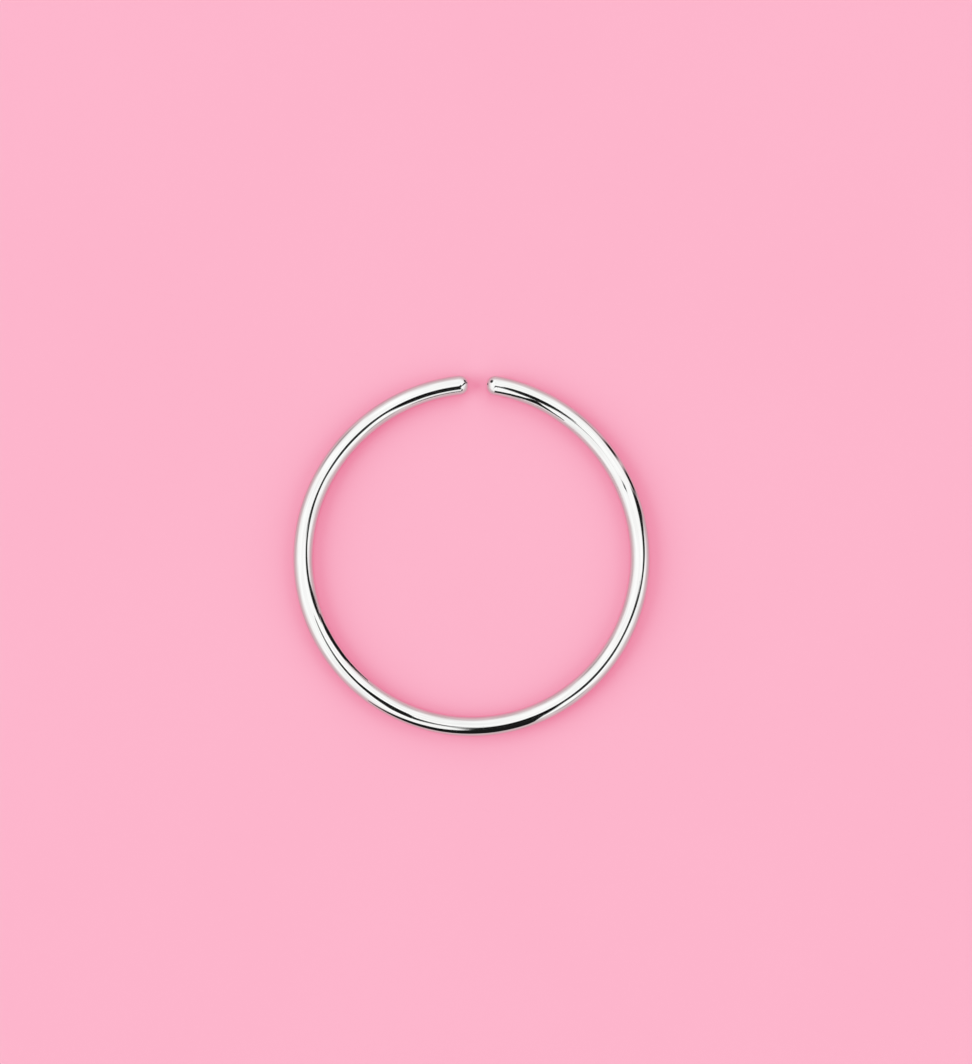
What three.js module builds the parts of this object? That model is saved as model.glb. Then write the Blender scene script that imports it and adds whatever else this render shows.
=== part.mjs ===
// An open nose hoop: one length of round wire with rounded ends, bent into a ring with a narrow gap.
//
// Millimetres, +Z up. The hoop lies on the plane z = 0 with its gap towards +Y, and the origin is the
// point on that plane under the centre of its round body.

import * as THREE from 'three';

// Driving dimensions.
const WIRE_DIAMETER = 0.6;
const INNER_DIAMETER = 10;
const END_EDGE_RADIUS = 0.27;

// The two ends of the wire spring outwards a little from the round body, on a wider bend of their own.
// Azimuths are in degrees from +X, falling clockwise: where the bend joins the body, and where it is cut.
const END_BENDS = {
  right: { radius: 5.55, joinAzimuth: 6.7, cutAzimuth: 82.4 },
  left: { radius: 5.58, joinAzimuth: -202, cutAzimuth: -266.2 },
};

// How finely the round wire is faceted. A multiple of four sides gives it a flat to lie on.
const WIRE_SIDES = 20;
const SECTION_SPACING = 0.33;
const EDGE_STEPS = 5;

const WIRE_RADIUS = WIRE_DIAMETER / 2;
const BODY_RADIUS = (INNER_DIAMETER + WIRE_DIAMETER) / 2;

const SILVER = new THREE.MeshStandardMaterial({
  name: 'silver',
  color: 0xe9e7e4,
  roughness: 0.06,
  metalness: 1,
});

// A clockwise arc about a point of the plane, between two azimuths in degrees.
function arc(centre, radius, fromAzimuth, toAzimuth) {
  const from = THREE.MathUtils.degToRad(fromAzimuth);
  const to = THREE.MathUtils.degToRad(toAzimuth);
  return new THREE.EllipseCurve(centre.x, centre.y, radius, radius, from, to, true);
}

// The centre of an end's bend, on the line from the body's centre to the join, so that the two bends
// run into each other with no kink.
function bendCentre({ radius, joinAzimuth }) {
  const azimuth = THREE.MathUtils.degToRad(joinAzimuth);
  const offset = BODY_RADIUS - radius;
  return new THREE.Vector2(offset * Math.cos(azimuth), offset * Math.sin(azimuth));
}

// The wire's centreline, clockwise from its right end round the body to its left end.
function wireCentreline() {
  const { right, left } = END_BENDS;
  const bodyCentre = new THREE.Vector2(0, 0);
  const centreline = new THREE.CurvePath();
  centreline.add(arc(bendCentre(right), right.radius, right.cutAzimuth, right.joinAzimuth));
  centreline.add(arc(bodyCentre, BODY_RADIUS, right.joinAzimuth, left.joinAzimuth));
  centreline.add(arc(bendCentre(left), left.radius, left.joinAzimuth, left.cutAzimuth));
  return centreline;
}

// Half the outline of the straight wire: up one rounded end from the axis, along the side in steps that
// will take the bend, and over the other rounded end back to the axis.
function wireOutline(length) {
  const flatRadius = WIRE_RADIUS - END_EDGE_RADIUS;
  const roundedEdge = new THREE.Path();
  roundedEdge.moveTo(0, 0);
  roundedEdge.lineTo(flatRadius, 0);
  roundedEdge.absarc(flatRadius, END_EDGE_RADIUS, END_EDGE_RADIUS, -Math.PI / 2, 0, false);
  const nearEnd = roundedEdge.getPoints(EDGE_STEPS);

  const straight = length - 2 * END_EDGE_RADIUS;
  const sections = Math.round(straight / SECTION_SPACING);
  const side = [];
  for (let i = 1; i < sections; i += 1) {
    side.push(new THREE.Vector2(WIRE_RADIUS, END_EDGE_RADIUS + (straight * i) / sections));
  }

  const farEnd = nearEnd.map(({ x, y }) => new THREE.Vector2(x, length - y)).reverse();
  return [...nearEnd, ...side, ...farEnd];
}

// The straight wire, turned about +Y. Its flats stand at the wire's radius, square to X and Z.
function straightWire(length) {
  const halfSide = Math.PI / WIRE_SIDES;
  const outline = wireOutline(length);
  const wire = new THREE.LatheGeometry(outline, WIRE_SIDES, halfSide);
  const toFlats = 1 / Math.cos(halfSide);
  return wire.scale(toFlats, 1, toFlats);
}

// The wire laid along the centreline: what was along Y follows it, and Z stays upright.
function bendAlong(wire, centreline) {
  const length = centreline.getLength();
  const position = wire.attributes.position;
  for (let i = 0; i < position.count; i += 1) {
    const share = Math.min(position.getY(i) / length, 1);
    const point = centreline.getPoint(share);
    const along = centreline.getTangent(share);
    const inwards = new THREE.Vector2(along.y, -along.x);
    point.addScaledVector(inwards, position.getX(i));
    position.setXYZ(i, point.x, point.y, position.getZ(i) + WIRE_RADIUS);
  }
  wire.computeVertexNormals();
  return wire;
}

function makeHoop() {
  const centreline = wireCentreline();
  const wire = straightWire(centreline.getLength());
  const hoop = new THREE.Mesh(bendAlong(wire, centreline), SILVER);
  hoop.name = 'hoop';
  return hoop;
}

const noseRing = new THREE.Group();
noseRing.add(makeHoop());

export default noseRing;
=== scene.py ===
import math

import bmesh
import bpy
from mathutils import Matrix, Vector, noise


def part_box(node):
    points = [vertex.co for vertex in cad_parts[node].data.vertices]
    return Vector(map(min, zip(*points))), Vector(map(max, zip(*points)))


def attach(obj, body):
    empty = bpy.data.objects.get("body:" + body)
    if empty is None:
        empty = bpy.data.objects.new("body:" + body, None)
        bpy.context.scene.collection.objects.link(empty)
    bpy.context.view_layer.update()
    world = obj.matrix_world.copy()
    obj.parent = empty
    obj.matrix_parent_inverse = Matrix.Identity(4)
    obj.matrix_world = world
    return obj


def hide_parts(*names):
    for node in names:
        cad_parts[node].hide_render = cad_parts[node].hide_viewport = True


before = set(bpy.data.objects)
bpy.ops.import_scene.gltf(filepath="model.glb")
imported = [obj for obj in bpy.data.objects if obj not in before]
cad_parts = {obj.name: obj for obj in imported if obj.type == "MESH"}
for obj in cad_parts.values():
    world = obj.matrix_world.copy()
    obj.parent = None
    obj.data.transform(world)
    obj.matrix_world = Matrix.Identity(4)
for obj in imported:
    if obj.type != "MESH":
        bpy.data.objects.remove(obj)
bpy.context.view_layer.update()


# ---------------------------------------------------------------------------------------------------------
# The hoop. The real nose ring is a single length of round silver wire, drawn through a die, bent round a
# mandrel and tumbled bright. Both cut ends are rounded in a cup burr, so that they slip in easily. They
# spring out a little from the round body and stop one wire's thickness apart.

hoop_low, hoop_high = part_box("hoop")
wire_radius = (hoop_high.z - hoop_low.z) / 2
body_radius = round(hoop_high.x - wire_radius, 4)
edge_radius = 0.00027
face_radius = wire_radius - edge_radius
deepest_dip = 0.000005
dips_per_metre = 500
dips_round_wire = 0.9
millimetres = 1000

# Each stretch of the bent wire, clockwise from the right-hand end. Azimuths are in degrees from +X. The end
# stretches run smoothly into the body's circle at their joins.
bends = [
    {"stretch": "right end", "radius": 0.00555, "start": 82.4, "stop": 6.7, "join": 6.7},
    {"stretch": "body", "radius": body_radius, "start": 6.7, "stop": -202, "join": 0},
    {"stretch": "left end", "radius": 0.00558, "start": -202, "stop": -266.2, "join": -202},
]
for bend in bends:
    join = math.radians(bend["join"])
    bend["centre"] = Vector((math.cos(join), math.sin(join))) * (body_radius - bend["radius"])
    bend["length"] = bend["radius"] * math.radians(bend["start"] - bend["stop"])
wire_length = sum(bend["length"] for bend in bends)


def along_hoop(distance):
    """The wire's centre in plan, and the way outwards, at a distance from its right-hand end."""
    for bend in bends:
        if distance <= bend["length"] or bend is bends[-1]:
            azimuth = math.radians(bend["start"]) - distance / bend["radius"]
            outwards = Vector((math.cos(azimuth), math.sin(azimuth)))
            return bend["centre"] + outwards * bend["radius"], outwards
        distance -= bend["length"]


def rounded_end(steps):
    """Rings of the skin over a rounded end: how far each stands from the wire's tip, and its radius."""
    rings = [(0.0, face_radius / 2)]
    for step in range(steps + 1):
        turn = math.pi / 2 * step / steps
        rings.append((edge_radius * (1 - math.cos(turn)), face_radius + edge_radius * math.sin(turn)))
    return rings


def wire_rings(spacing, steps):
    """Each ring of the skin on the straight wire: its distance from the right-hand end, and its radius."""
    near = rounded_end(steps)
    count = round((wire_length - 2 * edge_radius) / spacing)
    step = (wire_length - 2 * edge_radius) / count
    middle = [(edge_radius + step * i, wire_radius) for i in range(1, count)]
    far = [(wire_length - distance, radius) for distance, radius in reversed(near)]
    return near + middle + far


def hand_made(distance, angle):
    """How far the skin dips under a perfect cylinder. Bending and tumbling leave it slightly uneven."""
    across, up = math.cos(angle) * dips_round_wire, math.sin(angle) * dips_round_wire
    place = Vector((distance * dips_per_metre, across, up))
    return deepest_dip * (0.5 + 0.5 * noise.noise(place))


def bent_wire(name, sides, rings):
    """The wire's skin, with each point's place on the straight wire kept in millimetres for the finish."""
    points, straight = [], []

    def add(distance, across, up):
        centre, outwards = along_hoop(distance)
        place = centre + outwards * across
        points.append((place.x, place.y, up + wire_radius))
        straight.append((across * millimetres, distance * millimetres, up * millimetres))

    for distance, radius in rings:
        for side in range(sides):
            angle = 2 * math.pi * side / sides
            reach = radius - hand_made(distance, angle) * radius / wire_radius
            add(distance, reach * math.cos(angle), reach * math.sin(angle))
    first, last = len(points), len(points) + 1
    add(0, 0, 0)
    add(wire_length, 0, 0)

    faces = []
    for ring in range(len(rings) - 1):
        for side in range(sides):
            a, b = ring * sides + side, ring * sides + (side + 1) % sides
            faces.append((a, a + sides, b + sides, b))
    for side in range(sides):
        after = (side + 1) % sides
        top = (len(rings) - 1) * sides
        faces.append((first, side, after))
        faces.append((last, top + after, top + side))

    mesh = bpy.data.meshes.new(name)
    mesh.from_pydata(points, [], faces)
    mesh.validate()
    mesh.shade_smooth()
    kept = mesh.attributes.new("straight_wire", "FLOAT_VECTOR", "POINT")
    kept.data.foreach_set("vector", [value for place in straight for value in place])
    piece = bpy.data.objects.new(name, mesh)
    bpy.context.scene.collection.objects.link(piece)
    return piece


nose_hoop = bent_wire("silver_hoop", sides=64, rings=wire_rings(spacing=0.00004, steps=20))


class Shade:
    """A socket in a tree of shader nodes. Python's operators on it add Math nodes."""

    def __init__(self, tree, socket=None):
        self.tree = tree
        self.socket = socket

    def node(self, kind, settings=(), inputs=(), output=0):
        """Any node: its type, its settings, then a value or a link for each of its sockets."""
        made = self.tree.nodes.new(kind)
        for name, value in dict(settings).items():
            setattr(made, name, value)
        for name, value in dict(inputs).items():
            if isinstance(value, Shade):
                self.tree.links.new(value.socket, made.inputs[name])
            else:
                made.inputs[name].default_value = value
        return Shade(self.tree, made.outputs[output] if made.outputs else None)

    def math(self, operation, first, second):
        return self.node("ShaderNodeMath", {"operation": operation}, {0: first, 1: second})

    def __add__(self, other):
        return self.math("ADD", self, other)

    def __radd__(self, other):
        return self.math("ADD", other, self)

    def __sub__(self, other):
        return self.math("SUBTRACT", self, other)

    def __rsub__(self, other):
        return self.math("SUBTRACT", other, self)

    def __mul__(self, other):
        return self.math("MULTIPLY", self, other)

    def __rmul__(self, other):
        return self.math("MULTIPLY", other, self)

    def stretched(self, scale):
        """This vector with each axis multiplied by its own amount."""
        settings = {"operation": "MULTIPLY"}
        return self.node("ShaderNodeVectorMath", settings, {0: self, 1: scale})

    def along(self, way):
        """How far this vector reaches along another."""
        settings = {"operation": "DOT_PRODUCT"}
        return self.node("ShaderNodeVectorMath", settings, {0: self, 1: way}, "Value")

    def distance(self, place):
        """How far this place is from another."""
        settings = {"operation": "DISTANCE"}
        return self.node("ShaderNodeVectorMath", settings, {0: self, 1: place}, "Value")

    def between(self, low, high):
        """A mask: 0 below low, 1 above high, and smooth between."""
        settings = {"interpolation_type": "SMOOTHSTEP"}
        inputs = {"Value": self, "From Min": low, "From Max": high}
        return self.node("ShaderNodeMapRange", settings, inputs)

    def noise(self, scale, detail):
        """Cloudy noise over this vector, from 0 to 1. More detail is finer."""
        return self.node("ShaderNodeTexNoise", {}, {"Vector": self, "Scale": scale, "Detail": detail})

    def mixed(self, first, second):
        """One colour where this mask is 0 and another where it is 1."""
        inputs = {"Factor": self, 6: first, 7: second}
        return self.node("ShaderNodeMix", {"data_type": "RGBA"}, inputs, 2)


def new_finish(name):
    """A material with an empty node tree, and the wrapper that its nodes come from."""
    material = bpy.data.materials.new(name)
    material.use_nodes = True
    material.node_tree.nodes.clear()
    return material, Shade(material.node_tree)


# Small nicks that the cup burr left near the tips, with black painted into them as a dark reflection. Each
# has its distance from its tip, its distance outwards from the wire's middle, and its size, in millimetres.
# It is painted black out to the first share of its size, and gone by the second.
painted_dark_nicks = {
    "right end": [(0.130, 0.100, 0.060), (0.020, 0.0, 0.040)],
    "left end": [(0.087, 0.108, 0.050), (0.036, 0.050, 0.034)],
}
painted_dark_share = 0.6
nick_gone = 1.1


def nick_and_painted_dark_mask(wire):
    """A mask of the nicks at both ends: it dents the wire and places the painted dark reflection."""
    mask = None
    for end, places in painted_dark_nicks.items():
        for from_tip, outwards, size in places:
            short = edge_radius - from_tip / millimetres
            reach = (face_radius + math.sqrt(edge_radius**2 - short**2)) * millimetres
            up = math.sqrt(reach**2 - outwards**2)
            along = from_tip if end == "right end" else wire_length * millimetres - from_tip
            away = wire.distance((outwards, along, up))
            nick_and_painted_dark = 1 - away.between(size * painted_dark_share, size * nick_gone)
            mask = mask.math("MAXIMUM", mask, nick_and_painted_dark) if mask else nick_and_painted_dark
    return mask


def polished_silver():
    """Sterling silver, tumbled to a mirror, with faint marks of the die, the burr and handling, and
    painted dark reflection in its nicks.
    """
    material, finish = new_finish("polished_silver")
    wire = finish.node("ShaderNodeAttribute", {"attribute_name": "straight_wire"}, {}, "Vector")

    # The burr's rings fade out between these distances from each tip, in millimetres.
    burred, bare = 0.22, 0.4
    along = wire.along((0, 1, 0))
    far_end = wire_length * millimetres
    drawn = along.between(burred, bare) * (1 - along.between(far_end - bare, far_end - burred))

    # Each mark's noise is stretched by counts to the millimetre: across the wire, along it, and up.
    burr_rings = (1 - drawn) * wire.stretched((0.5, 60.0, 0.5)).noise(1.0, detail=2.0)
    haze = wire.noise(0.9, detail=3.0).between(0.45, 0.75)
    die_lines = wire.stretched((34.0, 0.5, 34.0)).noise(1.0, detail=3.0)
    scratches = wire.stretched((3.0, 26.0, 14.0)).noise(1.4, detail=4.0).between(0.66, 0.70)
    nick_and_painted_dark = nick_and_painted_dark_mask(wire)

    # The marks' heights are in millimetres, which the bump's distance turns into metres.
    height = die_lines * 0.00012 - scratches * 0.0001 + burr_rings * 0.0004 - nick_and_painted_dark * 0.003
    bump = finish.node("ShaderNodeBump", {}, {"Height": height, "Distance": 0.001, "Strength": 1.0})

    silver = (0.955, 0.953, 0.948, 1)
    dulled = (0.88, 0.865, 0.84, 1)
    # The black in the nicks is a painted dark reflection.
    painted_dark_reflection = (0.03, 0.028, 0.028, 1)
    mirror = 0.035
    metal = (haze * 0.3 + scratches * 0.2).mixed(silver, dulled)
    shader = finish.node(
        "ShaderNodeBsdfPrincipled",
        {},
        {
            "Base Color": nick_and_painted_dark.mixed(metal, painted_dark_reflection),
            "Metallic": 1.0,
            "Roughness": mirror + haze * 0.03 + die_lines * 0.01 + scratches * 0.08 + nick_and_painted_dark * 0.4,
            "Normal": bump,
        },
    )
    finish.node("ShaderNodeOutputMaterial", {}, {"Surface": shader})
    return material


nose_hoop.data.materials.append(polished_silver())
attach(nose_hoop, "root")
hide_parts("hoop")


# ---------------------------------------------------------------------------------------------------------
# The floor. The hoop lies on a sheet of matt pink card with a painted glow: it gives off a little red light
# of its own, so even its shadows are pink. It is flat round the hoop, and far off it curves gently up on
# all sides, so that no horizon shows.

card_pink = (0.196, 0.29, 0.302, 1)
# The card's red glow is painted light, not a lamp.
card_painted_glow = (0.67, 0.0, 0.122, 1)
mottled_share = 0.985
flat_reach = 0.25
card_reach = 0.62
card_rise = 0.09


def pink_card():
    material, finish = new_finish("pink_card")
    place = finish.node("ShaderNodeTexCoord", {}, {}, "Object")
    mottle = place.noise(90.0, detail=3.0).between(0.3, 0.7)
    grain = place.noise(9000.0, detail=3.0)
    darker = tuple(mottled_share * part for part in card_pink[:3]) + (1,)
    bump = finish.node("ShaderNodeBump", {}, {"Height": grain, "Distance": 0.000004, "Strength": 0.5})
    shader = finish.node(
        "ShaderNodeBsdfPrincipled",
        {},
        {
            "Base Color": mottle.mixed(card_pink, darker),
            "Roughness": 0.9,
            "Specular IOR Level": 0.1,
            "Emission Color": card_painted_glow,
            "Emission Strength": 1.0,
            "Normal": bump,
        },
    )
    finish.node("ShaderNodeOutputMaterial", {}, {"Surface": shader})
    material.cycles.emission_sampling = "NONE"
    return material


def swept_card(name, sides, rings):
    """A round sheet that is flat in the middle and rises towards its edge."""
    points, faces = [(0, 0, hoop_low.z)], []
    for ring in range(1, rings + 1):
        reach = card_reach * ring / rings
        rise = card_rise * max(0, (reach - flat_reach) / (card_reach - flat_reach)) ** 2
        for side in range(sides):
            turn = 2 * math.pi * side / sides
            points.append((reach * math.cos(turn), reach * math.sin(turn), hoop_low.z + rise))
    for side in range(sides):
        after = (side + 1) % sides
        faces.append((0, 1 + side, 1 + after))
        for ring in range(rings - 1):
            a, b = 1 + ring * sides + side, 1 + ring * sides + after
            faces.append((a, a + sides, b + sides, b))
    mesh = bpy.data.meshes.new(name)
    mesh.from_pydata(points, [], faces)
    mesh.shade_smooth()
    piece = bpy.data.objects.new(name, mesh)
    bpy.context.scene.collection.objects.link(piece)
    return piece


floor = swept_card("floor", sides=96, rings=48)
floor.data.materials.append(pink_card())
floor.visible_glossy = False
floor.visible_shadow = False


# ---------------------------------------------------------------------------------------------------------
# The light. A white cloth tent closes over the hoop: bright overhead, duller down its sides, and pink at
# its foot, where the card colours it. Only the silver mirrors it. Soft lamps on four sides and overhead
# light the card, the left one most, so that the shadow beside the wire is a little wider on its right.

tent_reach = 1.0
tent_white = (1.035, 1.04, 1.035, 1)
tent_side = (0.66, 0.52, 0.545, 1)
tent_foot = (0.73, 0.36, 0.44, 1)
unlit = (0, 0, 0, 1)

# The heights, as shares of the tent's reach, between which one colour turns into the next.
foot_to_side = (-0.75, -0.1)
side_to_white = (-0.2, 0.6)
fold_depth = 0.14

# How soft an edge is, in degrees, where two panels of one gap join.
joined_fade = 0.2


def toward(azimuth, from_top):
    """The way to a place on the tent, from its azimuth from +X and its angle from straight up."""
    a, p = math.radians(azimuth), math.radians(from_top)
    return Vector((math.cos(a) * math.sin(p), math.sin(a) * math.sin(p), math.cos(p)))


def panel(sky, sides):
    """A mask inside a four-sided panel. Each side is its two corners and the angle over which it fades."""
    middle = sum((start + stop for start, stop, fade in sides), Vector())
    inside = None
    for start, stop, fade in sides:
        inwards = start.cross(stop).normalized()
        if inwards.dot(middle) < 0:
            inwards = -inwards
        edge = math.sin(math.radians(fade))
        within = sky.along(inwards).between(-edge, edge)
        inside = within * inside if inside else within
    return inside


def opening(sky, softness, stations):
    """A mask of a gap in the tent. A station is its azimuth, its angle from the top and half its width."""
    ways = [toward(azimuth, from_top) for azimuth, from_top, half_width in stations]
    last = len(ways) - 1
    edges = []
    for i, (azimuth, from_top, half_width) in enumerate(stations):
        ahead = ways[min(i + 1, last)] - ways[max(i - 1, 0)]
        across = ways[i].cross(ahead).normalized() * math.tan(math.radians(half_width))
        edges.append((ways[i] + across, ways[i] - across))
    gap = None
    for i in range(last):
        left, right = edges[i]
        next_left, next_right = edges[i + 1]
        start_fade = softness if i == 0 else joined_fade
        stop_fade = softness if i == last - 1 else joined_fade
        part = panel(
            sky,
            [
                (left, next_left, softness),
                (right, next_right, softness),
                (left, right, start_fade),
                (next_left, next_right, stop_fade),
            ],
        )
        gap = gap.math("MAXIMUM", gap, part) if gap else part
    return gap


# Dark gaps are left where the tent's panels meet, at its front, and where its stands touch the card. Each
# has its darkness, its softness in degrees, and the stations that it runs through.
gaps = {
    "front": (0.99, 2, [(-69, 14, 4.5), (-75, 22, 7.3), (-76, 36, 10), (-76, 49, 9.5), (-74, 57, 6)]),
    "right seam": (0.99, 2, [
        (-67, 27, 14.5), (-60, 24, 15), (-50, 21, 14), (-42, 18, 11.5), (-35, 17, 8), (-28, 19, 5.5),
        (-20, 27, 4.5), (-10, 36, 5), (0, 45, 6.5), (9, 56, 8), (15, 66, 7.5), (16.5, 84, 5), (17, 100, 3),
    ]),
    "top slit": (0.99, 1, [(-113, 4, 2.5), (-113, 13, 3.2), (-113.5, 22, 3.2), (-114, 30, 2.4)]),
    "right stand": (0.98, 2, [(25, 82, 4), (25, 120, 4)]),
    "middle stand": (0.98, 2, [(36.5, 80, 3), (36.5, 118, 3)]),
    "right foot": (0.45, 2, [(25, 86, 4), (42, 88, 4)]),
    "far foot": (0.7, 2, [(38, 94, 6), (52, 97, 5)]),
    "left stand": (0.5, 4, [(133, 90, 9), (150, 92, 9)]),
    "front stand": (0.5, 4, [(-48, 78, 7), (-62, 80, 7)]),
}


def tent_cloth():
    material, cloth = new_finish("tent_cloth")
    place = cloth.node("ShaderNodeNewGeometry", {}, {}, "Position")
    sky = cloth.node("ShaderNodeVectorMath", {"operation": "NORMALIZE"}, {0: place}, "Vector")
    closed = None
    for darkness, softness, stations in gaps.values():
        kept = 1 - opening(sky, softness, stations) * darkness
        closed = kept * closed if closed else kept
    height = sky.along((0, 0, 1))
    upper = height.between(*side_to_white).mixed(tent_side, tent_white)
    colour = height.between(*foot_to_side).mixed(tent_foot, upper)
    folds = sky.stretched((1.0, 1.0, 0.3)).noise(6.0, detail=2.0).between(0.35, 0.7)
    lit = (closed * (1 - folds * fold_depth)).mixed(unlit, colour)
    glow = cloth.node("ShaderNodeEmission", {}, {"Color": lit, "Strength": 1.0})
    cloth.node("ShaderNodeOutputMaterial", {}, {"Surface": glow})
    material.cycles.emission_sampling = "NONE"
    return material


def only_mirrored(name, shape, material):
    """A piece of the studio that the silver mirrors, and that nothing else sees."""
    mesh = bpy.data.meshes.new(name)
    shape.to_mesh(mesh)
    shape.free()
    mesh.materials.append(material)
    piece = bpy.data.objects.new(name, mesh)
    bpy.context.scene.collection.objects.link(piece)
    piece.visible_camera = False
    piece.visible_diffuse = False
    piece.visible_shadow = False
    piece.visible_transmission = False


dome = bmesh.new()
bmesh.ops.create_icosphere(dome, subdivisions=5, radius=tent_reach)
only_mirrored("tent", dome, tent_cloth())


def black_card():
    """Card that is black on its front and can't be seen from behind."""
    material, card = new_finish("black_card")
    behind = card.node("ShaderNodeNewGeometry", {}, {}, "Backfacing")
    soot = (0.01, 0.01, 0.01, 1)
    dark = card.node("ShaderNodeEmission", {}, {"Color": soot, "Strength": 1.0})
    clear = card.node("ShaderNodeBsdfTransparent")
    shader = card.node("ShaderNodeMixShader", {}, {0: behind, 1: dark, 2: clear})
    card.node("ShaderNodeOutputMaterial", {}, {"Surface": shader})
    material.cycles.emission_sampling = "NONE"
    return material


def strip(rungs):
    """A band of card, from the pair of points that each of its rungs joins."""
    shape = bmesh.new()
    corners = [[shape.verts.new(point) for point in rung] for rung in rungs]
    for (a, b), (c, d) in zip(corners, corners[1:]):
        shape.faces.new((a, c, d, b))
    return shape


# Black tapes hang close over the hoop, and show as dark lines along the top of the wire: a long one at its
# front left, one by the right-hand end, and a scrap at its right. They are turned to face outwards as well
# as down, so that the far side of the hoop doesn't mirror them. A station is an azimuth, how far it is from
# the hoop's middle, and half the tape's width.
tape_clearance = 0.008
tape_up = hoop_high.z + tape_clearance
hanging_tapes = {
    "front_tape": [
        (-109, 0.0069, 0.0010),
        (-112, 0.0067, 0.0025),
        (-120, 0.0065, 0.0027),
        (-126, 0.0061, 0.0024),
        (-132, 0.0056, 0.0017),
        (-140, 0.0049, 0.0013),
        (-150, 0.0038, 0.0008),
        (-159, 0.0031, 0.0005),
    ],
    "end_tape": [
        (80, 0.0048, 0.0011),
        (78, 0.0048, 0.0014),
        (72, 0.0046, 0.0017),
        (65, 0.0048, 0.0015),
        (58, 0.0053, 0.0008),
        (52, 0.0058, 0.0003),
    ],
    "scrap": [(27, 0.0053, 0.0003), (24.8, 0.0053, 0.0013), (22.6, 0.0053, 0.0003)],
}
for name, stations in hanging_tapes.items():
    rungs = []
    for azimuth, reach, half_width in stations:
        out = toward(azimuth, 90)
        edges = (half_width, -half_width)
        rungs.append([out * (reach + edge) + Vector((0, 0, tape_up + edge)) for edge in edges])
    only_mirrored(name, strip(rungs), black_card())


# The height on the wire from which the cards beside it are seen.
shoulder = wire_radius * 1.6


def upright_card(name, standoff, stations):
    """A black card that stands beside the wire and faces it. A station is a distance along the wire in
    millimetres, and the angles from straight up, seen from the wire, between which the card is."""
    rungs = []
    for along, upper, lower in stations:
        centre, outwards = along_hoop(along / millimetres)
        foot = centre + outwards * standoff
        ups = [shoulder + abs(standoff) / math.tan(math.radians(angle)) for angle in (lower, upper)]
        if standoff < 0:
            ups.reverse()
        rungs.append([(foot.x, foot.y, up) for up in ups])
    only_mirrored(name, strip(rungs), black_card())


# One low card stands in front of the hoop and darkens the outer side of the wire. Two stand inside it: one
# puts the lower arm of a dark cross on the wire by its right-hand end, and one is at the hoop's front left.
upright_card("front_card", 0.0018, [
    (13.97, 43, 50),
    (14.15, 43, 64),
    (14.34, 43, 84),
    (14.52, 42, 91),
    (15.35, 40, 91),
    (16.28, 40, 93),
    (16.74, 48, 96),
    (17.20, 56, 100),
    (18.13, 66, 104),
    (18.87, 78, 104),
    (19.60, 92, 100),
])
upright_card("inner_card", -0.002, [
    (0.18, 70, 98),
    (0.62, 64, 92),
    (1.01, 56, 84),
    (1.30, 48, 76),
    (1.49, 34, 73),
    (1.69, 30, 70),
    (1.90, 46, 72),
    (2.30, 60, 76),
    (2.75, 66, 74),
])
upright_card("low_card", -0.0006, [
    (20.0, 108, 122),
    (20.7, 96, 126),
    (21.4, 78, 126),
    (22.1, 72, 122),
    (22.5, 76, 108),
    (22.75, 88, 97),
])

# Each lamp: its azimuth, its height over the card and its width, in degrees, and its share of the card's
# light. What the lamps leave comes evenly from all round.
card_light = 1.6
lamps = {
    "left_lamp": (180, 33, 50, 0.285),
    "right_lamp": (-5, 33, 50, 0.15),
    "back_lamp": (80, 38, 50, 0.13),
    "front_lamp": (-95, 38, 50, 0.06),
    "top_lamp": (0, 90, 20, 0.22),
}
for name, (azimuth, height, width, share) in lamps.items():
    light = bpy.data.lights.new(name, "SUN")
    light.angle = math.radians(width)
    light.energy = card_light * share * math.pi / math.sin(math.radians(height))
    lamp = bpy.data.objects.new(name, light)
    lamp.rotation_euler = toward(azimuth, 90 - height).to_track_quat("Z", "Y").to_euler()
    lamp.visible_glossy = False
    bpy.context.scene.collection.objects.link(lamp)

even_share = 1 - sum(share for azimuth, height, width, share in lamps.values())
world = bpy.data.worlds.new("even_light")
bpy.context.scene.world = world
world.use_nodes = True
world.node_tree.nodes["Background"].inputs["Color"].default_value = (1, 1, 1, 1)
world.node_tree.nodes["Background"].inputs["Strength"].default_value = card_light * even_share
world.cycles_visibility.glossy = False

bpy.context.scene.cycles.caustics_reflective = False
bpy.context.scene.view_settings.view_transform = "Standard"


# ---------------------------------------------------------------------------------------------------------
# The camera looks straight down on the flat hoop, through a long lens, so that the wire shows alike all the
# way round. The hoop lies a little left of the view's middle and below it.

view_height = 0.03345
view_middle = (0.000455, 0.000822)
camera_data = bpy.data.cameras.new("camera")
camera_data.lens = 180
camera_data.sensor_width = 36
camera_data.clip_start = 0.001
camera = bpy.data.objects.new("camera", camera_data)
distance = view_height * camera_data.lens / camera_data.sensor_width
camera.location = (*view_middle, wire_radius + distance)
bpy.context.scene.collection.objects.link(camera)
bpy.context.scene.camera = camera
